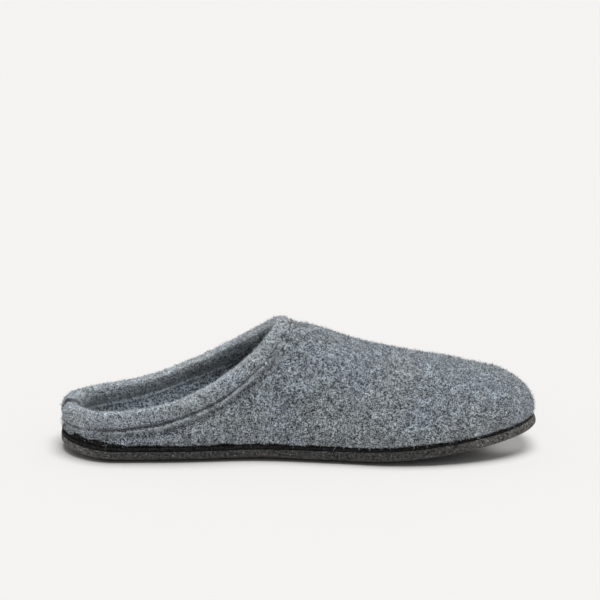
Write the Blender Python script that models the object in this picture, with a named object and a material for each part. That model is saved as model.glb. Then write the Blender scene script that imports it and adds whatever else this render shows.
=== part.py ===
"""A boiled-wool felt mule slipper for a left foot, in five solids.

The sole is an outsole of speckled rubber with a thin black layer over it, both dished up at
their edge. The felt upper stands on the black layer as one hollow wall, open at the collar
and underneath, and a doubled felt band is folded over its collar. The insole lies inside.
Sizes are in millimetres. X runs from the heel to the toe, Y from the inner side of the foot
to the outer side, Z up. The origin is under the middle of the slipper's box, on the floor.
"""
import bmesh
import bpy
import numpy as np

MM = 0.001

# Driving sizes of the last
LENGTH = 279.0
HEEL_END = -1.3
HEEL_ROUND = 34.0
HEEL_LEAN = 110.0
NOSE_START = 250.0
TOE_ROUND = {"medial": (190.0, 2.2), "lateral": (183.0, 2.25)}
SIGN = {"medial": -1.0, "lateral": 1.0}

# Half breadths of the sole on both sides of the line from heel to toe tip
PLAN_COLUMNS = ("x", "medial", "lateral")
PLAN_ROWS = (
    (0, 34.5, 33.5),
    (34, 34.8, 34.4),
    (70, 34.0, 36.5),
    (118, 31.0, 41.5),
    (157, 35.5, 52.0),
    (190, 40.5, 56.5),
    (213, 41.5, 56.0),
    (246, 41.0, 53.0),
    (279, 40.0, 50.0),
)

# Height of the form along its ridge, behind the throat as if the leg went on upwards, and
# how square its arch is (2 is an ellipse)
FORM_COLUMNS = ("x", "ridge", "squareness")
FORM_ROWS = (
    (0, 75.0, 2.0),
    (20, 75.0, 2.0),
    (35, 80.0, 2.0),
    (59, 95.0, 2.0),
    (71, 100.0, 2.0),
    (84, 97.0, 1.95),
    (98, 87.0, 1.9),
    (113, 79.5, 1.9),
    (129, 74.7, 1.9),
    (141, 73.8, 1.95),
    (155, 69.4, 2.0),
    (170, 63.1, 2.1),
    (185, 58.6, 2.2),
    (200, 55.2, 2.3),
    (229, 50.6, 2.3),
    (250, 46.2, 2.3),
    (280, 43.6, 2.3),
)

# Height of the wall's upper edge on both sides, from the centre back to the throat
TOPLINE_COLUMNS = ("x", "medial", "lateral")
TOPLINE_ROWS = (
    (0, 26.4, 26.4),
    (20, 26.3, 25.4),
    (34, 27.5, 27.0),
    (46, 29.3, 29.5),
    (58, 31.8, 33.0),
    (70, 35.0, 37.8),
    (84, 40.7, 43.8),
    (96, 47.0, 50.1),
    (105, 53.0, 55.7),
    (112, 58.5, 60.2),
    (118.5, 64.5, 65.1),
    (124, 70.2, 70.4),
    (129, 74.7, 74.7),
)

# Lift of the sole off the floor: toe spring, heel and a slight arch between two flat spots
TOE_SPRING = 12.0
TOE_SPRING_START = 173.0
TOE_SPRING_POWER = 1.6
HEEL_LIFT = 2.2
HEEL_LIFT_END = 30.0
HEEL_LIFT_POWER = 1.5
ARCH_LIFT = 0.3
ARCH_START = 80.0
ARCH_END = 150.0

# Layers of the sole, as heights over the lifted ground line
CURL = 2.2
CURL_REACH = 13.0
OUTSOLE_TOP = 4.8
OUTSOLE_EDGE = 0.6
TOE_BEVEL = 0.6
TOE_BEVEL_START = 190.0
LAYER_GAP = 0.3
MIDSOLE_BOTTOM = OUTSOLE_TOP + LAYER_GAP
MIDSOLE_TOP = 7.4
MIDSOLE_STEP = 0.3
INSOLE_BOTTOM = MIDSOLE_TOP + LAYER_GAP
INSOLE_TOP = 12.2
INSOLE_INSET = 4.8
INSOLE_EDGE = 0.8
INSOLE_TOE_INSET = 1.5
INSOLE_TOE_START = 235.0

# How much the outsole thickens under the ball and the toes, where the black layer thins
THICKER_COLUMNS = ("x", "outsole")
THICKER_ROWS = ((0, 0.0), (120, 0.0), (170, 0.8), (210, 1.1), (280, 1.0))

# Felt wall of the upper
WALL = 3.2
FEATHER_INSET = 1.0
FEATHER_INSET_AT_TOE = 2.2
FEATHER = MIDSOLE_TOP + CURL
BULGE = 1.8
BULGE_HEIGHT = 9.0
BULGE_COLUMNS = ("x", "share")
BULGE_ROWS = ((0, 0.3), (20, 0.4), (60, 1.0), (150, 1.0), (230, 1.0), (280, 0.8))
RIM_CROWDING = 0.7

# Raised seam below the band: its distance from the rim, and its height and half width
SEAM_COLUMNS = ("x", "distance")
SEAM_ROWS = (
    (0, 9.2),
    (28, 9.2),
    (38, 9.8),
    (48, 11.3),
    (57, 12.0),
    (67, 11.7),
    (79, 10.9),
    (92, 9.8),
    (109, 8.2),
    (119, 7.7),
    (129, 7.6),
)
SEAM_RIDGE = 0.9
SEAM_HALF_WIDTH = 1.3

# Join of the band at the back, near the heel tip
BACK_SEAM_Y = -1.0
BACK_SEAM_WIDTH = 2.2
BACK_SEAM_END = 20.0
WALL_VALLEY = 0.9
WALL_VALLEY_RISE = 10.0
BAND_PINCH = 1.1
BAND_SEAT = 2.0
BAND_CROWN = 1.0

# Section of the folded collar band: offset from the wall's middle and height over its edge.
# Outside, the heights below the edge are shares of the seam's distance.
BAND_OUTSIDE = (
    (1.9, -0.81),
    (2.7, -0.82),
    (3.6, -0.70),
    (4.1, -0.45),
    (4.2, -0.2),
)
BAND_SECTION = (
    (4.0, 0.0),
    (3.5, 1.7),
    (2.2, 2.8),
    (0.0, 3.2),
    (-2.2, 2.8),
    (-3.6, 1.7),
    (-4.3, 0.0),
    (-4.4, -3.0),
    (-4.1, -5.6),
    (-3.3, -7.2),
    (-1.9, -7.0),
    (-1.9, -3.4),
    (-1.9, 0.3),
    (1.9, 0.3),
)
BAND_LINING = ((1.9, -0.3), (1.9, -0.6))

# How finely the surfaces are cut
STATIONS = 30
END_CROWDING = 0.06
BACK_STATIONS = (3.4, 5.2, 7.2, 9.2, 11.4)
BACK_STATIONS_ROOM = 1.0
ROWS_TO_SEAM = (0.0, 0.3, 0.6, 0.82, 0.88, 1.0, 1.12, 1.2)
WALL_ROWS = 10
WALL_ROW_POWER = 1.7
CURVE_SAMPLES = 400

FELT_GREY = (0.27, 0.30, 0.35, 1.0)
BAND_GREY = (0.30, 0.33, 0.38, 1.0)
INSOLE_GREY = (0.22, 0.24, 0.28, 1.0)
BLACK_LAYER = (0.012, 0.012, 0.013, 1.0)
SOLE_GREY = (0.10, 0.09, 0.085, 1.0)


def table(columns, rows):
    """Columns of numbers by their names."""
    return dict(zip(columns, np.array(rows, dtype=float).T))


def read(columns, name, x):
    """Smooth reading of one column between its rows, held level past both ends."""
    keys = columns["x"]
    values = columns[name]
    slopes = np.gradient(values, keys)
    x = np.clip(x, keys[0], keys[-1])
    row = np.clip(np.searchsorted(keys, x) - 1, 0, len(keys) - 2)
    span = keys[row + 1] - keys[row]
    t = (x - keys[row]) / span
    start = (1 + 2 * t) * (1 - t) ** 2 * values[row] + t * (1 - t) ** 2 * span * slopes[row]
    end = t * t * (3 - 2 * t) * values[row + 1] - t * t * (1 - t) * span * slopes[row + 1]
    return start + end


PLAN = table(PLAN_COLUMNS, PLAN_ROWS)
FORM = table(FORM_COLUMNS, FORM_ROWS)
TOPLINE = table(TOPLINE_COLUMNS, TOPLINE_ROWS)
SWELL = table(BULGE_COLUMNS, BULGE_ROWS)
SEAM = table(SEAM_COLUMNS, SEAM_ROWS)
THICKER = table(THICKER_COLUMNS, THICKER_ROWS)
SOLE_ENDS = (HEEL_END, LENGTH)
UPPER_ENDS = (HEEL_END + FEATHER_INSET, LENGTH - FEATHER_INSET_AT_TOE)


def rounding(distance, reach, power):
    """Share left of a size that a round end closes, at a distance into that end."""
    into = np.clip(distance / reach, 0.0, 1.0)
    return (1.0 - into ** power) ** (1.0 / power)


def closing(x, side, ends):
    """Share of the half breadth that the rounds of heel and toe leave at x."""
    back, tip = ends
    toe_start, toe_power = TOE_ROUND[side]
    heel = rounding(HEEL_ROUND - x, HEEL_ROUND - back, 2.0)
    toe = rounding(x - toe_start, tip - toe_start, toe_power)
    return heel * toe


def form_height(x):
    """Height of the upper's form over the feather edge, rounded off at heel and toe."""
    back, tip = UPPER_ENDS
    heel = rounding(HEEL_LEAN - x, HEEL_LEAN - back, 2.0)
    toe = rounding(x - NOSE_START, tip - NOSE_START, 2.0)
    return (read(FORM, "ridge", x) - ground(x) - FEATHER) * heel * toe


def ground(x):
    """Height of the sole's underside over the floor."""
    toe = np.clip((x - TOE_SPRING_START) / (LENGTH - TOE_SPRING_START), 0.0, None)
    heel = np.clip((HEEL_LIFT_END - x) / HEEL_LIFT_END, 0.0, None)
    arch = np.clip((x - ARCH_START) / (ARCH_END - ARCH_START), 0.0, 1.0)
    spring = TOE_SPRING * toe ** TOE_SPRING_POWER
    lift = HEEL_LIFT * heel ** HEEL_LIFT_POWER
    return spring + lift + ARCH_LIFT * np.sin(np.pi * arch) ** 2


def curl(inset):
    """Rise of the sole's dished edge at a distance in from the outline."""
    return CURL * np.clip(1.0 - inset / CURL_REACH, 0.0, 1.0) ** 2


def half_outline(side, inset, ends):
    """Fine points of one side's outline, from the centre back to the toe tip."""
    back, tip = ends
    turn = np.linspace(0.0, np.pi, CURVE_SAMPLES)
    x = back + (tip - back) * (1.0 - np.cos(turn)) / 2.0
    across = closing(x, side, ends)
    y = SIGN[side] * across * (read(PLAN, side, x) - inset)
    return x, y, across


def lengths(*coordinates):
    """Length along a curve up to each of its points."""
    steps = np.sqrt(sum(np.diff(c) ** 2 for c in coordinates))
    return np.concatenate(([0.0], np.cumsum(steps)))


def station_shares():
    """Places of the columns from the centre back to the toe tip, as shares of the way."""
    even = np.linspace(0.0, 1.0, STATIONS + 1)
    shares = even - END_CROWDING * np.sin(2.0 * np.pi * even)
    x, y, across = half_outline("medial", 0.0, SOLE_ENDS)
    total = lengths(x, y)[-1]
    low = BACK_STATIONS[0] - BACK_STATIONS_ROOM
    high = BACK_STATIONS[-1] + BACK_STATIONS_ROOM
    kept = shares[(shares * total < low) | (shares * total > high)]
    return np.sort(np.concatenate((kept, np.array(BACK_STATIONS) / total)))


def around(medial, lateral):
    """One closed loop of both halves: centre back, inner side, toe tip, outer side."""
    return np.concatenate((medial, lateral[-2:0:-1]))


def sole_loop(inset):
    """Outline of the sole moved in by the inset, with a point at each station."""
    halves = []
    for side in ("medial", "lateral"):
        x, y, across = half_outline(side, 0.0, SOLE_ENDS)
        way = lengths(x, y)
        at = station_shares() * way[-1]
        halves.append(np.stack((np.interp(at, way, x), np.interp(at, way, y)), axis=1))
    loop = around(*halves)
    along = np.roll(loop, -1, axis=0) - np.roll(loop, 1, axis=0)
    along /= np.linalg.norm(along, axis=1)[:, None]
    outward = np.stack((along[:, 1], -along[:, 0]), axis=1)
    return loop - inset * outward


def toe_share(x, start):
    """Soft step from 0 at the start to 1 at the toe tip."""
    share = np.clip((x - start) / (LENGTH - start), 0.0, 1.0)
    return share * share * (3.0 - 2.0 * share)


def sole_ring(inset, height, bevel=0.0, thicker=0.0):
    """A loop of the sole at a height over the lifted ground line.

    The shares say how much of the toe's bevel and of the outsole's extra thickness it takes.
    """
    loop = sole_loop(inset)
    x = loop[:, 0]
    beveled = bevel * TOE_BEVEL * toe_share(x, TOE_BEVEL_START)
    z = ground(x) + height + beveled + thicker * read(THICKER, "outsole", x)
    return np.column_stack((loop, z))


def insole_ring(inset, height):
    """A loop of the insole, which stops short of the wall at the toe."""
    ring = sole_ring(inset, height)
    ring[:, 0] -= INSOLE_TOE_INSET * toe_share(ring[:, 0], INSOLE_TOE_START)
    return ring


def form_point(x, across, side):
    """Point of the upper's outer form at x and at a share of the half breadth."""
    closed = closing(x, side, UPPER_ENDS)
    reach = np.clip(across / np.maximum(closed, 1e-9), 0.0, 1.0)
    arch = (1.0 - reach ** read(FORM, "squareness", x)) ** 0.5
    y = SIGN[side] * across * (read(PLAN, side, x) - FEATHER_INSET)
    return np.stack((x, y, ground(x) + FEATHER + form_height(x) * arch), axis=-1)


def rim_across(x, side):
    """Share of the half breadth at which the form has the height of the topline."""
    rise = read(TOPLINE, side, x) - ground(x) - FEATHER
    level = np.clip(rise / np.maximum(form_height(x), 1e-9), 0.0, 1.0)
    reach = (1.0 - level ** 2) ** (1.0 / read(FORM, "squareness", x))
    return reach * closing(x, side, UPPER_ENDS)


def rim_back():
    """Place of the wall's upper edge at the centre back."""
    x = np.linspace(UPPER_ENDS[0], BACK_SEAM_END, CURVE_SAMPLES * 10)
    height = form_point(x, np.zeros_like(x), "medial")[:, 2]
    return x[np.argmax(height >= read(TOPLINE, "medial", x))]


def rim_share(share):
    """Share of the way along the rim that belongs to a share of the way along the sole."""
    return share * (1.0 + RIM_CROWDING - RIM_CROWDING * share)


def wall_column(side, share):
    """Fine line down the upper from its rim to the feather edge, and its lengths."""
    x, y, across = half_outline(side, FEATHER_INSET, UPPER_ENDS)
    way = lengths(x, y)
    foot_x = np.interp(share * way[-1], way, x)
    foot_across = np.interp(share * way[-1], way, across)
    turn = np.linspace(0.0, np.pi, CURVE_SAMPLES)
    back = rim_back()
    rim_x = back + (TOPLINE["x"][-1] - back) * (1.0 - np.cos(turn)) / 2.0
    rim_a = rim_across(rim_x, side)
    rim_a[0] = 0.0
    rim_a[-1] = 0.0
    rim = form_point(rim_x, rim_a, side)
    rim_way = lengths(*rim.T)
    start_x = np.interp(rim_share(share) * rim_way[-1], rim_way, rim_x)
    start_across = np.interp(rim_share(share) * rim_way[-1], rim_way, rim_a)
    down = 1.0 - (1.0 - np.linspace(0.0, 1.0, CURVE_SAMPLES)) ** 2
    line_x = start_x + (foot_x - start_x) * down
    line_across = start_across + (foot_across - start_across) * down
    line = form_point(line_x, line_across, side)
    return line, lengths(*line.T)


def row_distances(total, seam):
    """Distances of the rows from the rim: close at the seam, then down to the feather."""
    near = np.array(ROWS_TO_SEAM) * seam
    share = np.linspace(0.0, 1.0, WALL_ROWS + 1)[1:]
    share = 1.0 - (1.0 - share) ** WALL_ROW_POWER
    return np.concatenate((near, near[-1] + (total - near[-1]) * share))


def grid_normals(grid):
    """Outward unit normals of a grid of columns around and rows down."""
    around_step = np.roll(grid, -1, axis=0) - np.roll(grid, 1, axis=0)
    down_step = np.gradient(grid, axis=1)
    normals = np.cross(down_step, around_step)
    return normals / np.linalg.norm(normals, axis=2)[:, :, None]


def back_seam(points):
    """Closeness to the band's join at the back, 1 on it and 0 away from it."""
    near = np.exp(-((points[..., 1] - BACK_SEAM_Y) / BACK_SEAM_WIDTH) ** 2)
    return np.where(points[..., 0] < BACK_SEAM_END, near, 0.0)


def wall_grid():
    """Outer surface of the upper without its seam, its rows' distances from the rim, and the
    distance of the seam in each column."""
    halves = []
    for side in ("medial", "lateral"):
        columns = []
        for share in station_shares():
            line, way = wall_column(side, share)
            seam = float(read(SEAM, "distance", line[0, 0]))
            rows = row_distances(way[-1], seam)
            points = [np.interp(rows, way, line[:, k]) for k in range(3)]
            columns.append(np.stack((*points, rows, np.full_like(rows, seam)), axis=1))
        halves.append(np.array(columns))
    both = around(*halves)
    grid = both[:, :, :3]
    distances = both[:, :, 3]
    seams = both[:, 0, 4]
    rise = grid[:, :, 2] - ground(grid[:, :, 0]) - FEATHER
    share = np.clip(rise, 0.0, None) / BULGE_HEIGHT
    swell = BULGE * read(SWELL, "share", grid[:, :, 0]) * share * np.exp(1.0 - share)
    valley = WALL_VALLEY * back_seam(grid) * np.clip(rise / WALL_VALLEY_RISE, 0.0, 1.0)
    grid = grid + grid_normals(grid) * (swell - valley)[:, :, None]
    return grid, distances, seams


def mesh_object(name, vertices, faces, colour, roughness, parent):
    """A smooth-shaded object with its own material, made of points in millimetres."""
    mesh = bpy.data.meshes.new(name)
    mesh.from_pydata([tuple(v * MM) for v in vertices], [], faces)
    work = bmesh.new()
    work.from_mesh(mesh)
    bmesh.ops.triangulate(work, faces=work.faces)
    bmesh.ops.recalc_face_normals(work, faces=work.faces)
    work.to_mesh(mesh)
    work.free()
    mesh.shade_smooth()
    mesh.set_sharp_from_angle(angle=np.radians(50.0))
    material = bpy.data.materials.new(name)
    material.use_nodes = True
    shader = material.node_tree.nodes["Principled BSDF"]
    shader.inputs["Base Color"].default_value = colour
    shader.inputs["Roughness"].default_value = roughness
    shader.inputs["Metallic"].default_value = 0.0
    mesh.materials.append(material)
    thing = bpy.data.objects.new(name, mesh)
    thing.parent = parent
    bpy.context.scene.collection.objects.link(thing)
    return thing


def stacked_rings(rings):
    """Vertices and faces of a closed solid through a stack of rings, capped at both ends."""
    count = len(rings[0])
    half = count // 2
    faces = []
    for level in range(len(rings) - 1):
        low = level * count
        high = low + count
        for i in range(count):
            j = (i + 1) % count
            faces.append((low + i, low + j, high + j, high + i))
    for first in (0, (len(rings) - 1) * count):
        faces.append((first, first + 1, first + count - 1))
        for i in range(1, half - 1):
            faces.append((first + i, first + i + 1, first + count - i - 1, first + count - i))
        faces.append((first + half - 1, first + half, first + half + 1))
    return np.concatenate(rings), faces


def wrapped_sections(sections):
    """Vertices and faces of a closed ring-like solid through a loop of closed sections."""
    loops = len(sections)
    count = len(sections[0])
    faces = []
    for u in range(loops):
        here = u * count
        there = ((u + 1) % loops) * count
        for k in range(count):
            m = (k + 1) % count
            faces.append((here + k, here + m, there + m, there + k))
    return np.concatenate(sections), faces


def make_outsole(parent):
    """Speckled rubber outsole, dished up at its edge."""
    rings = (
        sole_ring(CURL_REACH, 0.0, 1.0),
        sole_ring(7.5, curl(7.5), 1.0),
        sole_ring(3.5, curl(3.5), 1.0),
        sole_ring(1.0, curl(1.0), 1.0),
        sole_ring(0.0, CURL + 0.9, 0.8),
        sole_ring(0.0, OUTSOLE_TOP + CURL - OUTSOLE_EDGE, 0.0, 1.0),
        sole_ring(OUTSOLE_EDGE, OUTSOLE_TOP + curl(OUTSOLE_EDGE), 0.0, 1.0),
        sole_ring(6.0, OUTSOLE_TOP + curl(6.0), 0.0, 1.0),
        sole_ring(CURL_REACH, OUTSOLE_TOP, 0.0, 1.0),
    )
    return mesh_object("outsole", *stacked_rings(rings), SOLE_GREY, 0.85, parent)


def make_midsole(parent):
    """Thin black layer between outsole and felt, set in a little at its edge."""
    edge = MIDSOLE_STEP
    rings = (
        sole_ring(CURL_REACH, MIDSOLE_BOTTOM, 0.0, 1.0),
        sole_ring(6.0, MIDSOLE_BOTTOM + curl(6.0), 0.0, 1.0),
        sole_ring(edge, MIDSOLE_BOTTOM + curl(edge), 0.0, 1.0),
        sole_ring(edge, MIDSOLE_TOP + curl(edge)),
        sole_ring(4.2, MIDSOLE_TOP + curl(4.2)),
        sole_ring(CURL_REACH, MIDSOLE_TOP),
    )
    return mesh_object("midsole", *stacked_rings(rings), BLACK_LAYER, 0.9, parent)


def make_insole(parent):
    """Soft felt insole inside the wall, slightly cupped."""
    edge = INSOLE_INSET
    rings = (
        insole_ring(CURL_REACH, INSOLE_BOTTOM),
        insole_ring(edge + INSOLE_EDGE, INSOLE_BOTTOM + curl(edge + INSOLE_EDGE)),
        insole_ring(edge, INSOLE_BOTTOM + curl(edge) + INSOLE_EDGE),
        insole_ring(edge, INSOLE_TOP - INSOLE_EDGE),
        insole_ring(edge + 1.2, INSOLE_TOP + 0.5),
        insole_ring(edge + 5.0, INSOLE_TOP + 0.4),
        insole_ring(edge + 11.0, INSOLE_TOP),
    )
    return mesh_object("insole", *stacked_rings(rings), INSOLE_GREY, 0.95, parent)


def make_upper(grid, distances, seams, parent):
    """Hollow felt upper: one wall with a raised seam below its collar band."""
    normals = grid_normals(grid)
    across_seam = np.abs(distances - seams[:, None]) / SEAM_HALF_WIDTH
    across_seam = np.clip(across_seam, 0.0, 1.0)
    seam = SEAM_RIDGE * np.cos(across_seam * np.pi / 2.0) ** 2
    outer = grid + normals * seam[:, :, None]
    inner = grid - normals * WALL
    inner[:, -1, 2] = ground(inner[:, -1, 0]) + INSOLE_BOTTOM + curl(FEATHER_INSET + WALL)
    outer[:, -1, 2] = ground(outer[:, -1, 0]) + INSOLE_BOTTOM + curl(FEATHER_INSET)
    sections = [np.concatenate((o, i[::-1])) for o, i in zip(outer, inner)]
    return mesh_object("upper", *wrapped_sections(sections), FELT_GREY, 0.95, parent)


def band_section(seam):
    """The band's closed section where the seam lies at the given distance."""
    outside = [(offset, share * seam) for offset, share in BAND_OUTSIDE]
    lining = [(offset, share * seam) for offset, share in BAND_LINING]
    return outside + list(BAND_SECTION) + lining


def make_collar_band(grid, distances, seams, parent):
    """Felt band folded over the collar, inside and out, pinched at its join at the back."""
    normals = grid_normals(grid)
    sections = []
    for column, normal, distance, seam in zip(grid, normals, distances, seams):
        middle = column - normal * WALL / 2.0
        upward = middle[0] - middle[1]
        upward /= np.linalg.norm(upward)
        pinch = BAND_PINCH * back_seam(column[0])
        section = []
        for offset, height in band_section(seam):
            down = max(-height, 0.0)
            place = np.array([np.interp(down, distance, middle[:, k]) for k in range(3)])
            out = np.array([np.interp(down, distance, normal[:, k]) for k in range(3)])
            if abs(offset) > BAND_SEAT:
                offset -= np.sign(offset) * pinch
            if height > BAND_CROWN:
                height -= pinch
            section.append(place + out * offset + upward * max(height, 0.0))
        sections.append(np.array(section))
    return mesh_object("collar_band", *wrapped_sections(sections), BAND_GREY, 0.95, parent)


def stand_on_floor(root, pieces):
    """Moves the whole so that the origin lies under the middle of its box."""
    corners = np.concatenate([np.array([v.co for v in p.data.vertices]) for p in pieces])
    low = corners.min(axis=0)
    high = corners.max(axis=0)
    root.location = (-(low[0] + high[0]) / 2.0, -(low[1] + high[1]) / 2.0, -low[2])


def main():
    for thing in list(bpy.data.objects):
        bpy.data.objects.remove(thing, do_unlink=True)
    root = bpy.data.objects.new("slipper", None)
    bpy.context.scene.collection.objects.link(root)
    grid, distances, seams = wall_grid()
    pieces = [
        make_outsole(root),
        make_midsole(root),
        make_insole(root),
        make_upper(grid, distances, seams, root),
        make_collar_band(grid, distances, seams, root),
    ]
    stand_on_floor(root, pieces)
    return pieces


main()
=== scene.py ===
# %% [markdown]
# # A felt slipper, dressed around its frame
#
# The frame is the plain model of the slipper: an outsole, a black layer, an insole, a hollow
# upper and a band folded over the collar. It has the right shape, but it is coarse and looks
# like plastic. Here each piece is made again from the same shape functions, finely enough to
# hold lumps, seams and a nap, and gets the finish of wool felt or of speckled rubber.

import bmesh
import bpy
import numpy as np
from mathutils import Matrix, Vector, noise


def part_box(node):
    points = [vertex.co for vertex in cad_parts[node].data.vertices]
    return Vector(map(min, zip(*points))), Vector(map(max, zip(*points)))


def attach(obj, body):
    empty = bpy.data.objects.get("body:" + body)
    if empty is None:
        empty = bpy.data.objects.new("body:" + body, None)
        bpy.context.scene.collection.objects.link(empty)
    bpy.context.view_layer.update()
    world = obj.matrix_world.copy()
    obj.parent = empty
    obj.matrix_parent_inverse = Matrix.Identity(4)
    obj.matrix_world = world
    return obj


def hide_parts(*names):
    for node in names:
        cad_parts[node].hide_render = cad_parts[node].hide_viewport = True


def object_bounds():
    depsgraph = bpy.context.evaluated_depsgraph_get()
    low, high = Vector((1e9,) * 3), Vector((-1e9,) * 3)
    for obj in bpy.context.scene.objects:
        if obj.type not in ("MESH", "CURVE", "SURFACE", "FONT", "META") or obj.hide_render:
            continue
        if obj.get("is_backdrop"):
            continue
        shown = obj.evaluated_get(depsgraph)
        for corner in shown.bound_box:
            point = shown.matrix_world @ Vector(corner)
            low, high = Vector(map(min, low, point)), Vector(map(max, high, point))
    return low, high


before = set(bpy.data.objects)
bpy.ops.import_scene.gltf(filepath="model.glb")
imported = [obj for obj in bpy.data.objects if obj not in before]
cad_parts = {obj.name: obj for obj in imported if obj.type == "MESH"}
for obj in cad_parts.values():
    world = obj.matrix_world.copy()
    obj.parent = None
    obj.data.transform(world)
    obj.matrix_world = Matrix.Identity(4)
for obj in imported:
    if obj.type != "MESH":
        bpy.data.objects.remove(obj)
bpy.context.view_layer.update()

print("frame nodes:", sorted(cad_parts))

# %% [markdown]
# ## One set of measures
#
# A shoemaker works on a last, a block with the shape of the foot. All the pieces here are
# read from one last too, in millimetres, with X from heel to toe and Y from the inner side
# of the foot to the outer side. Each table has one row for each section of the last. We
# could trace the frame's mesh instead, but functions can be read as finely as we like.

# %% The last's tables
MM = 0.001
LENGTH = 279
HEEL_END = -1.3
HEEL_ROUND = 34
HEEL_LEAN = 110
NOSE_START = 250
TOE_ROUND = {"medial": (190, 2.2), "lateral": (183, 2.25)}
SIGN = {"medial": -1, "lateral": 1}


def table(columns, *rows):
    """Columns of numbers by their names."""
    return dict(zip(columns, np.array(rows, dtype=float).T))


PLAN = table(
    ("x", "medial", "lateral"),
    (0, 34.5, 33.5), (34, 34.8, 34.4), (70, 34, 36.5), (118, 31, 41.5), (157, 35.5, 52),
    (190, 40.5, 56.5), (213, 41.5, 56), (246, 41, 53), (279, 40, 50))
FORM = table(
    ("x", "ridge", "squareness"),
    (0, 75, 2), (20, 75, 2), (35, 80, 2), (59, 95, 2), (71, 100, 2),
    (84, 97, 1.95), (98, 87, 1.9), (113, 79.5, 1.9), (129, 74.7, 1.9), (141, 73.8, 1.95),
    (155, 69.4, 2), (170, 63.1, 2.1), (185, 58.6, 2.2), (200, 55.2, 2.3), (229, 50.6, 2.3),
    (250, 46.2, 2.3), (280, 43.6, 2.3))
TOPLINE = table(
    ("x", "medial", "lateral"),
    (0, 26.4, 26.4), (20, 26.3, 25.4), (34, 27.5, 27), (46, 29.3, 29.5), (58, 31.8, 33),
    (70, 35, 37.8), (84, 40.7, 43.8), (96, 47, 50.1), (105, 53, 55.7), (112, 58.5, 60.2),
    (118.5, 64.5, 65.1), (124, 70.2, 70.4), (129, 74.7, 74.7))
SEAM = table(
    ("x", "distance"), (0, 9.2), (28, 9.2), (38, 9.8), (48, 11.3), (57, 12), (67, 11.7),
    (79, 10.9), (92, 9.8), (109, 8.2), (119, 7.7), (129, 7.6))
THICKER = table(("x", "outsole"), (0, 0), (120, 0), (170, 0.8), (210, 1.1), (280, 1))
SWELL = table(("x", "share"), (0, 0.3), (20, 0.4), (60, 1), (150, 1), (230, 1), (280, 0.8))

# %% Heights of the sole's layers, as in the frame
TOE_SPRING, TOE_SPRING_START, TOE_SPRING_POWER = 12, 173, 1.6
HEEL_LIFT, HEEL_LIFT_END, HEEL_LIFT_POWER = 2.2, 30, 1.5
ARCH_LIFT, ARCH_START, ARCH_END = 0.3, 80, 150
CURL, CURL_REACH = 2.2, 13
OUTSOLE_TOP = 4.8
TOE_BEVEL, TOE_BEVEL_START = 0.6, 190
LAYER_GAP = 0.3
MIDSOLE_BOTTOM = OUTSOLE_TOP + LAYER_GAP
MIDSOLE_TOP = 7.4
INSOLE_BOTTOM = MIDSOLE_TOP + LAYER_GAP
INSOLE_TOP = 12.2
INSOLE_INSET = 4.8
WALL = 3.2
FEATHER_INSET = 1
FEATHER = MIDSOLE_TOP + CURL
BULGE, BULGE_HEIGHT = 1.8, 9
BACK_SEAM_Y, BACK_SEAM_END = -1, 20
SOLE_ENDS = (HEEL_END, LENGTH)
UPPER_ENDS = (HEEL_END + FEATHER_INSET, LENGTH - 2.2)
INSOLE_TOE_INSET, INSOLE_TOE_START = 1.5, 235

# %% [markdown]
# ## Reading a table smoothly
#
# Straight lines between the rows would show as flats on a surface that light rakes over.
# A cubic curve that leaves each row in the direction of its neighbours has no kinks, and it
# still passes through every row.

# %% Table reading and the round ends
def read(columns, name, x):
    """Smooth reading of one column between its rows."""
    keys = columns["x"]
    values = columns[name]
    slopes = np.gradient(values, keys)
    x = np.clip(x, keys[0], keys[-1])
    row = np.clip(np.searchsorted(keys, x) - 1, 0, len(keys) - 2)
    span = keys[row + 1] - keys[row]
    t = (x - keys[row]) / span
    start = (1 + 2 * t) * (1 - t) ** 2 * values[row] + t * (1 - t) ** 2 * span * slopes[row]
    end = t * t * (3 - 2 * t) * values[row + 1] - t * t * (1 - t) * span * slopes[row + 1]
    return start + end


def rounding(distance, reach, power):
    """Share left of a size that a round end closes, at a distance into that end."""
    into = np.clip(distance / reach, 0, 1)
    return (1 - into ** power) ** (1 / power)


def closing(x, side, ends):
    """Share of the half breadth that the rounds of heel and toe leave."""
    toe_start, toe_power = TOE_ROUND[side]
    heel = rounding(HEEL_ROUND - x, HEEL_ROUND - ends[0], 2)
    return heel * rounding(x - toe_start, ends[1] - toe_start, toe_power)


def ground(x):
    """Height of the sole's underside over the floor."""
    toe = np.clip((x - TOE_SPRING_START) / (LENGTH - TOE_SPRING_START), 0, None)
    heel = np.clip((HEEL_LIFT_END - x) / HEEL_LIFT_END, 0, None)
    arch = np.clip((x - ARCH_START) / (ARCH_END - ARCH_START), 0, 1)
    lift = TOE_SPRING * toe ** TOE_SPRING_POWER + HEEL_LIFT * heel ** HEEL_LIFT_POWER
    return lift + ARCH_LIFT * np.sin(np.pi * arch) ** 2


def form_height(x):
    """Height of the upper's form over its foot, rounded off at heel and toe."""
    heel = rounding(HEEL_LEAN - x, HEEL_LEAN - UPPER_ENDS[0], 2)
    toe = rounding(x - NOSE_START, UPPER_ENDS[1] - NOSE_START, 2)
    return (read(FORM, "ridge", x) - ground(x) - FEATHER) * heel * toe


def curl(inset):
    """Rise of the sole's dished edge at a distance in from the outline."""
    return CURL * np.clip(1 - inset / CURL_REACH, 0, 1) ** 2


def smooth(low, high, x):
    """0 below low, 1 above high, and a soft step between."""
    t = np.clip((x - low) / (high - low), 0, 1)
    return t * t * (3 - 2 * t)


def unit(vectors):
    """Vectors scaled to length 1."""
    return vectors / np.linalg.norm(vectors, axis=-1, keepdims=True)


def bell(x, centre, width):
    """1 at the centre, and a soft fall to nearly 0 at twice the width from it."""
    return np.exp(-((x - centre) / width) ** 2)


print("ground at toe tip:", round(float(ground(LENGTH)), 2), "mm")

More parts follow.
